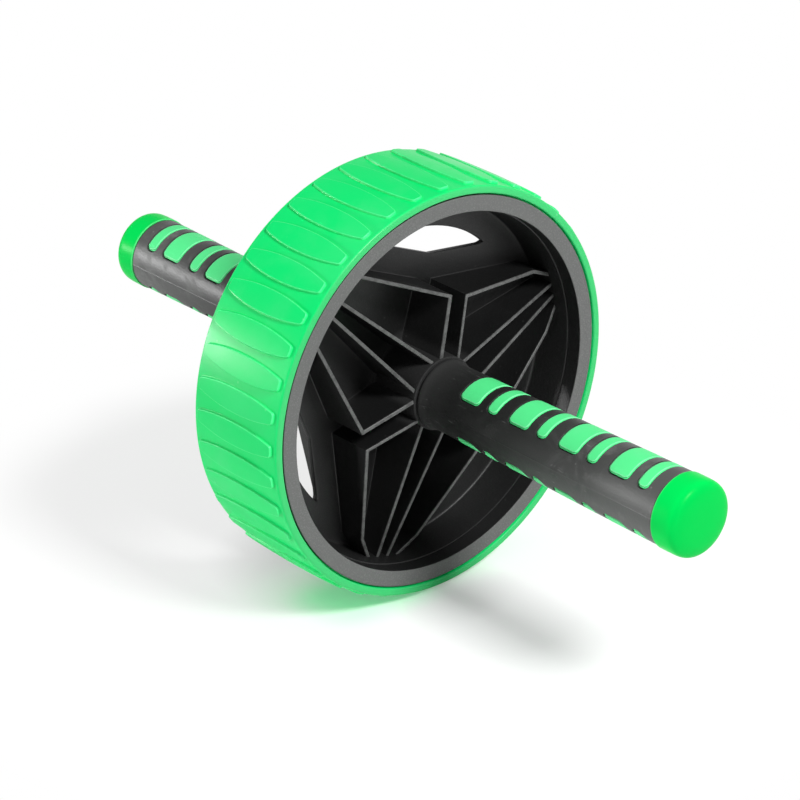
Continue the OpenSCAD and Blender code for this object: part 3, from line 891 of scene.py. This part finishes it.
def cover_mesh(side, turn):
    """Soft cover of one grip: a cell for each inlay window, plain strips between the rows, and both ends.

    In a cell, rows of points run from the cell's border to the window's outline, over its rounded edge and
    down the wall to the floor. The strips and the ends share the points of the cells' borders. A row is
    (loop, drop, lowest radius, painted edge light), which here marks painted shade in the groove.
    """
    patches, marks, border_y = [], [], []
    for middle, outline, unit_cell, cell, wider in inlay_outlines(GROOVE):
        table = between(cell, wider(0.5), (0, 0.4, 0.8, 1), 0.0, np.nan, 0.0)
        # The two rows at the top of the window's wall are marked for the painted shade of the groove.
        table += [(wider(outwards), drop, np.nan, rub) for outwards, drop, rub in
                  ((0.3, 0.005, 0), (0.14, 0.04, 0.2), (0.04, 0.14, 0.2), (0.0, 0.34, 0))]
        table += [(outline, WINDOW_DEEP, np.nan, 0.0)]
        table += between(outline, outline * [0.8, 0.0], (0, 0.5, 1), WINDOW_DEEP, FLOOR_R, 0.0)
        rows, drop, floor, mark = columns(table)
        for row_turn in (0.0, 180.0):
            offset = rows[..., 0] + row_turn
            offset = np.where(offset > 180, offset - 360, offset)
            patches.append(on_grip(offset, middle + rows[..., 1], drop, side, turn, floor))
            marks.append(mark)
        border_y.append(middle + cell[np.isclose(cell[:, 0], CELL_ANGLE), 1])
    y = np.unique(np.round(np.concatenate(border_y), 6))
    strip = np.array([62, 67, 73, 79, 84, 87.5, 88.8, 89.4, 89.7, 90, 90.3, 90.6, 91.2, 92.5, 96, 101, 107, 113,
                      118.0])
    for offset in (strip, -strip):
        grid_offset, grid_y = np.meshgrid(offset, y)
        patches.append(on_grip(grid_offset, grid_y, 0.0, side, turn))
        marks.append(0.0)
    row = np.unique(np.round(unit_cell[np.isclose(unit_cell[:, 1], 1.0), 0], 9))
    ring = np.unique(np.round(np.concatenate([row, strip, row + 180, strip + 180]) % 360, 9))
    ring = np.append(ring, ring[0] + 360)
    s = np.linspace(0, 1, 7)
    back_s = s[::-1]
    ends = [(at, drop, np.nan) for place_at, drops in (
        (np.linspace(y[0], 33.5, 4), 0.0), (np.linspace(TAPER_Y, COVER_IN + 2.4, 9), 0.0),
        (COVER_IN + 2.2 * (1 - s) ** 2, 1.3 * s ** 2)) for at, drop in np.broadcast(place_at, drops)]
    ends += [(COVER_IN, 0, TUBE_R + 1.5), (COVER_IN, 0, TUBE_R), (SEAM, 0, TUBE_R), (SEAM, 0, TUBE_R + 1.5)]
    ends += [(at, drop, np.nan) for at, drop in zip(SEAM - SEAM_SOFT * (1 - back_s) ** 2, SEAM_SOFT * back_s ** 2)]
    ends += [(at, 0.0, np.nan) for at in np.linspace(y[-1], SEAM - 0.6, 3)[::-1]]
    ends = np.array(ends)[:, :, None] * np.ones(len(ring))
    signed = np.broadcast_to(np.where(ring > 180, ring - 360, ring), ends[:, 0].shape)
    patches.append(on_grip(signed, ends[:, 0], ends[:, 1], side, turn, ends[:, 2]))
    # The rounding at the seam is marked for a darker line.
    marks.append(np.where(ends[:, 0] > SEAM - SEAM_SOFT - 0.01, 0.2, 0.0))
    return mesh_from_patches("soft_cover", patches, marks)


def inlay_mesh(side, turn, row_turn, rise):
    """Eight inlays of one row: each has a curved top, a rounded edge and a low skirt that fills the groove."""
    patches, marks = [], []
    for middle, outline, _, _, wider in inlay_outlines(0.0):
        head, under = wider(-0.6), outline * [0.86, 0.0]
        table = between(head, head * [0.86, 0.0], (1, 0.6, 0.3, 0), 0.0, np.nan, 0.0)
        # The rounded edge rows are marked for painted highlights.
        table += [(wider(outwards), drop, np.nan, rub) for outwards, drop, rub in
                  ((-0.42, 0.0, 0.5), (-0.24, 0.03, 1), (-0.1, 0.1, 1), (-0.02, 0.24, 0.4), (0, 0.45, 0),
                   (0.04, 0.56, 0), (0.12, 0.6, 0), (GROOVE - 0.06, 0.6, 0), (GROOVE - 0.05, WINDOW_DEEP, 0))]
        table += [(loop, 0.0, FLOOR_R + 0.02, 0.0)
                  for loop in (table[-1][0], outline * 0.5 + 0.5 * under, under)]
        rows, drop, floor, mark = columns(table)
        patches.append(on_grip(rows[..., 0] + row_turn, middle + rows[..., 1], drop - rise / MM, side, turn, floor))
        marks.append(mark)
    return mesh_from_patches("soft_inlays", patches, marks)


def cap_mesh(side):
    """End cap: a flat-topped dome, radius = full radius times (1 - t^8.4)^(1/3.2) at a share t of its length.

    It has a small rounded lip at the seam and the round spigot that sits in the tube.
    """
    t = np.concatenate([np.linspace(0.06, 0.55, 7), np.sin(np.linspace(0.0815, np.pi / 2, 34)) ** (2 / 8.4)])
    r = CAP_R * np.maximum(1 - t ** 8.4, 0) ** (1 / 3.2)
    dome = np.stack([r, SEAM + (END_Y - SEAM) * t], -1)
    lip = bend([CAP_R - 0.4, SEAM], [CAP_R, SEAM], [CAP_R, SEAM + 0.4], 6)
    back = [[CAP_BORE, SEAM - 6.0], [SOCKET_R - 0.4, SEAM - 6.0], [SOCKET_R - 0.1, SEAM - 5.9],
            [SOCKET_R, SEAM - 5.6], [SOCKET_R, SEAM], [CAP_R - 0.8, SEAM]]
    inner = [[0.0, END_Y - 2.4], [4.7, END_Y - 2.4], [6.8, END_Y - 3.3], [CAP_BORE, END_Y - 5.4],
             [CAP_BORE, SEAM - 6.0]]
    profile = np.concatenate([back, lip, dome, inner])
    # The lip at the seam is marked for a painted highlight.
    rub = np.concatenate([np.zeros(len(back)), [0.3, 0.8, 1, 1, 0.8, 0.3], np.zeros(len(dome) + len(inner))])
    points = turned(profile, np.linspace(0, 360, 145)) * [1, side, 1]
    return mesh_from_patches("end_cap", [points], [rub[:, None]])


# Operators.

class ROLLER_OT_tyre(Operator):
    """Green tyre with forty barrel-shaped pads"""

    bl_idname = "roller.tyre"
    bl_label = "Build tyre"

    def execute(self, context):
        settings = context.scene.roller_tyre
        mesh = tyre_mesh(settings.pad_height)
        place("green_tyre", mesh, tread_rubber(tuple(settings.colour)), "wheel", "tyre")
        return {"FINISHED"}


class ROLLER_OT_core(Operator):
    """Dark wheel core: rim, web and hub, and the ribs on both sides"""

    bl_idname = "roller.core"
    bl_label = "Build wheel core"

    def execute(self, context):
        settings = context.scene.roller_core
        material = core_plastic(tuple(settings.colour))
        place("core_body", body_mesh(), material, "wheel", "wheel_core")
        for name, side in SIDES:
            mesh = ribs_mesh(settings.edge / MM, side)
            place("core_ribs_" + name, mesh, material, "wheel", "wheel_core")
        return {"FINISHED"}


class ROLLER_OT_covers(Operator):
    """Two soft black covers with windows for the inlays"""

    bl_idname = "roller.covers"
    bl_label = "Build grip covers"

    def execute(self, context):
        material = cover_rubber(tuple(context.scene.roller_grip.cover_colour))
        for name, side in SIDES:
            mesh = cover_mesh(side, GRIP_TURNS[name])
            place("soft_cover_" + name, mesh, material, "handles", "grip_cover_" + name)
        return {"FINISHED"}


class ROLLER_OT_inlays(Operator):
    """Four rows of light green inlays"""

    bl_idname = "roller.inlays"
    bl_label = "Build inlays"

    def execute(self, context):
        settings = context.scene.roller_grip
        material = inlay_rubber(tuple(settings.inlay_colour))
        for name, side in SIDES:
            for row, row_turn in (("top", 0.0), ("under", 180.0)):
                mesh = inlay_mesh(side, GRIP_TURNS[name], row_turn, settings.inlay_rise)
                which = f"{row}_{name}"
                place("soft_inlays_" + which, mesh, material, "handles", "inlay_" + which)
        return {"FINISHED"}


class ROLLER_OT_caps(Operator):
    """Two green end caps"""

    bl_idname = "roller.caps"
    bl_label = "Build end caps"

    def execute(self, context):
        material = cap_plastic(tuple(context.scene.roller_grip.cap_colour))
        for name, side in SIDES:
            place("domed_cap_" + name, cap_mesh(side), material, "handles", "end_cap_" + name)
        return {"FINISHED"}


class ROLLER_OT_fittings(Operator):
    """Materials for the axle, bushes, washers, tubes and nuts"""

    bl_idname = "roller.fittings"
    bl_label = "Finish inner fittings"

    def execute(self, context):
        steel = machined_steel("Turned steel", (0.62, 0.63, 0.65), 0.24, 2600.0)
        zinc = machined_steel("Zinc plated steel", (0.66, 0.66, 0.68), 0.32, 900.0)
        acetal = plain_plastic("White acetal", (0.80, 0.80, 0.76), 0.35)
        tube = plain_plastic("Black tube plastic", (0.05, 0.05, 0.05), 0.45)
        finishes = {"axle": steel, "end_washer": zinc, "lock_nut": zinc, "hub_bush": acetal,
                    "thrust_washer": acetal, "grip_tube": tube}
        for name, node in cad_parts.items():
            for start, material in finishes.items():
                if name.startswith(start):
                    node.data.materials.clear()
                    node.data.materials.append(material)
        return {"FINISHED"}


def lamp(name, size, place_at, power):
    """Square area lamp of a size in metres, turned towards the wheel and hidden from the camera."""
    data = bpy.data.lights.new(name, "AREA")
    data.shape = "RECTANGLE"
    data.size = data.size_y = size
    data.energy = power
    made = bpy.data.objects.new(name, data)
    made.location = place_at
    made.rotation_mode = "QUATERNION"
    made.rotation_quaternion = (Vector() - Vector(place_at)).to_track_quat("-Z", "Y")
    made.visible_camera = False
    bpy.context.scene.collection.objects.link(made)


def mix_shaders(tree, share, first, second):
    """Output of a Mix Shader node."""
    return add(tree, "MixShader", {"Fac": share, 1: first, 2: second}).outputs[0]


def seen_straight(tree, path):
    """Mask of what the camera sees, also through glass."""
    return maths(tree, "MAXIMUM", path["Is Camera Ray"], path["Is Transmission Ray"])


def floor_piece():
    """Round white floor; what the camera sees is lifted to white but keeps the shadow.

    The lift is weak near the object, where the shadow lies, and full from 0.24 m on. Under the tyre it is
    tinted by the green light that the tyre throws on the floor. Seen from below the floor is clear, so that
    the underside of the wheel can be looked at.
    """
    ring = np.linspace(0, 2 * np.pi, 97)
    r = np.array([0.0, 400.0, 1200.0, 6000.0])[:, None]
    points = np.stack(np.broadcast_arrays(r * np.cos(ring), r * np.sin(ring), FLOOR_Z / MM), -1)
    mesh = mesh_from_patches("stage_floor", [points], [0.0])
    if mesh.polygons[0].normal.z < 0:
        mesh.flip_normals()
    material = bpy.data.materials.new("White floor")
    tree = cleared(material)
    where = object_place(tree)
    part, distance = split(tree, where), length_of(tree, where)
    behind = span(tree, part["Y"], -0.06, 0.06, 0.42, 0.74)
    near_object = maths(tree, "MINIMUM", behind, span(tree, distance, 0.095, 0.125, 0.28, 0.75))
    bounce = span(tree, part["Y"], 0.02, 0.0)
    for limit in (span(tree, part["Y"], -0.036, -0.018), span(tree, part["X"], 0.005, -0.015),
                  span(tree, distance, 0.11, 0.098, 0.0, 0.85)):
        bounce = times(tree, bounce, limit)
    lift = add(tree, "Emission", {"Color": tinted(tree, (1.0, 1.0, 1.0), (0.2, 1.0, 0.45), bounce)})
    path = add(tree, "LightPath").outputs
    fading = times(tree, span(tree, distance, 0.19, 0.24), maths(tree, "SUBTRACT", 1.0, near_object))
    seen = times(tree, seen_straight(tree, path), maths(tree, "ADD", near_object, fading))
    mirrored = times(tree, path["Is Glossy Ray"], span(tree, distance, 0.18, 0.36))
    matt = add(tree, "BsdfDiffuse", {"Color": (0.94, 0.94, 0.94, 1.0)})
    top = mix_shaders(tree, maths(tree, "MAXIMUM", seen, mirrored), matt.outputs[0], lift.outputs[0])
    from_below = times(tree, path["Is Camera Ray"], add(tree, "NewGeometry").outputs["Backfacing"])
    clear = add(tree, "BsdfTransparent")
    add(tree, "OutputMaterial", {"Surface": mix_shaders(tree, from_below, top, clear.outputs[0])})
    mesh.materials.append(material)
    floor = bpy.data.objects.new("stage_floor", mesh)
    bpy.context.scene.collection.objects.link(floor)


def white_world(fill):
    """World: even fill light, white where the camera looks, and a darker sky in reflections."""
    world = bpy.data.worlds.new("White studio")
    tree = cleared(world)
    path = add(tree, "LightPath").outputs
    height = split(tree, add(tree, "TexCoord").outputs["Generated"])["Z"]
    mirrored = span(tree, height, 0.12, 0.42, 1.0, 0.28)
    strength = add(tree, "Mix", {"Factor": path["Is Glossy Ray"], "A": fill, "B": mirrored})
    strength = maths(tree, "MAXIMUM", strength.outputs["Result"], seen_straight(tree, path))
    shade = add(tree, "Background", {"Color": (1.0, 1.0, 1.0, 1.0), "Strength": strength})
    add(tree, "OutputWorld", {"Surface": shade.outputs[0]})
    bpy.context.scene.world = world


def photo_camera():
    """Camera on the photograph's line of sight, with a long lens.

    It looks a little past the wheel's middle, so that the wheel lies in the frame as in the photograph.
    """
    def away(azimuth, elevation):
        a, e = np.radians(azimuth), np.radians(elevation)
        return Vector((np.sin(a) * np.cos(e), -np.cos(a) * np.cos(e), np.sin(e)))

    back = away(*CAMERA_LOOK)
    right = Vector((-back.y, back.x, 0.0)).normalized()
    up = back.cross(right)
    data = bpy.data.cameras.new("Camera")
    data.lens = CAMERA_LENS
    data.sensor_width = 36.0
    data.clip_start, data.clip_end = 0.1, 50.0
    made = bpy.data.objects.new("Camera", data)
    turn = Matrix((right, up, back)).transposed().to_4x4()
    made.matrix_world = Matrix.Translation(away(*CAMERA_PLACE) * CAMERA_AWAY) @ turn
    bpy.context.scene.collection.objects.link(made)
    bpy.context.scene.camera = made


class ROLLER_OT_stage(Operator):
    """White floor, lamps, world and camera"""

    bl_idname = "roller.stage"
    bl_label = "Build stage"

    def execute(self, context):
        settings = context.scene.roller_stage
        floor_piece()
        white_world(settings.fill)
        lamp("main_lamp", 0.38, (0.0, -1.22, 1.19), settings.key_power)
        lamp("side_lamp", 0.16, (-0.96, 1.25, 0.07), settings.side_power)
        photo_camera()
        context.scene.view_settings.view_transform = "Standard"
        return {"FINISHED"}


class ROLLER_PT_panel(Panel):
    """Build steps and settings of the roller"""

    bl_idname = "ROLLER_PT_panel"
    bl_label = "Ab wheel roller"
    bl_space_type = "VIEW_3D"
    bl_region_type = "UI"
    bl_category = "Roller"

    def draw(self, context):
        for owner, kind in SETTINGS.items():
            box = self.layout.box()
            for name in kind.__annotations__:
                box.prop(getattr(context.scene, owner), name)
        for step in STEPS:
            self.layout.operator(step.bl_idname)


SETTINGS = {"roller_tyre": TyreSettings, "roller_core": CoreSettings, "roller_grip": GripSettings,
            "roller_stage": StageSettings}
STEPS = (ROLLER_OT_tyre, ROLLER_OT_core, ROLLER_OT_covers, ROLLER_OT_inlays, ROLLER_OT_caps,
         ROLLER_OT_fittings, ROLLER_OT_stage)


def register():
    """Registers the settings, the build steps and the panel."""
    for name, kind in SETTINGS.items():
        bpy.utils.register_class(kind)
        setattr(bpy.types.Scene, name, PointerProperty(type=kind))
    for kind in (*STEPS, ROLLER_PT_panel):
        bpy.utils.register_class(kind)


def unregister():
    """Takes away what register added, in the other order."""
    for kind in reversed((*STEPS, ROLLER_PT_panel)):
        bpy.utils.unregister_class(kind)
    for name, kind in reversed(SETTINGS.items()):
        delattr(bpy.types.Scene, name)
        bpy.utils.unregister_class(kind)


def main():
    """Builds everything in order."""
    register()
    bpy.ops.roller.tyre()
    bpy.ops.roller.core()
    bpy.ops.roller.covers()
    bpy.ops.roller.inlays()
    bpy.ops.roller.caps()
    bpy.ops.roller.fittings()
    bpy.ops.roller.stage()


if __name__ == "__main__":
    main()
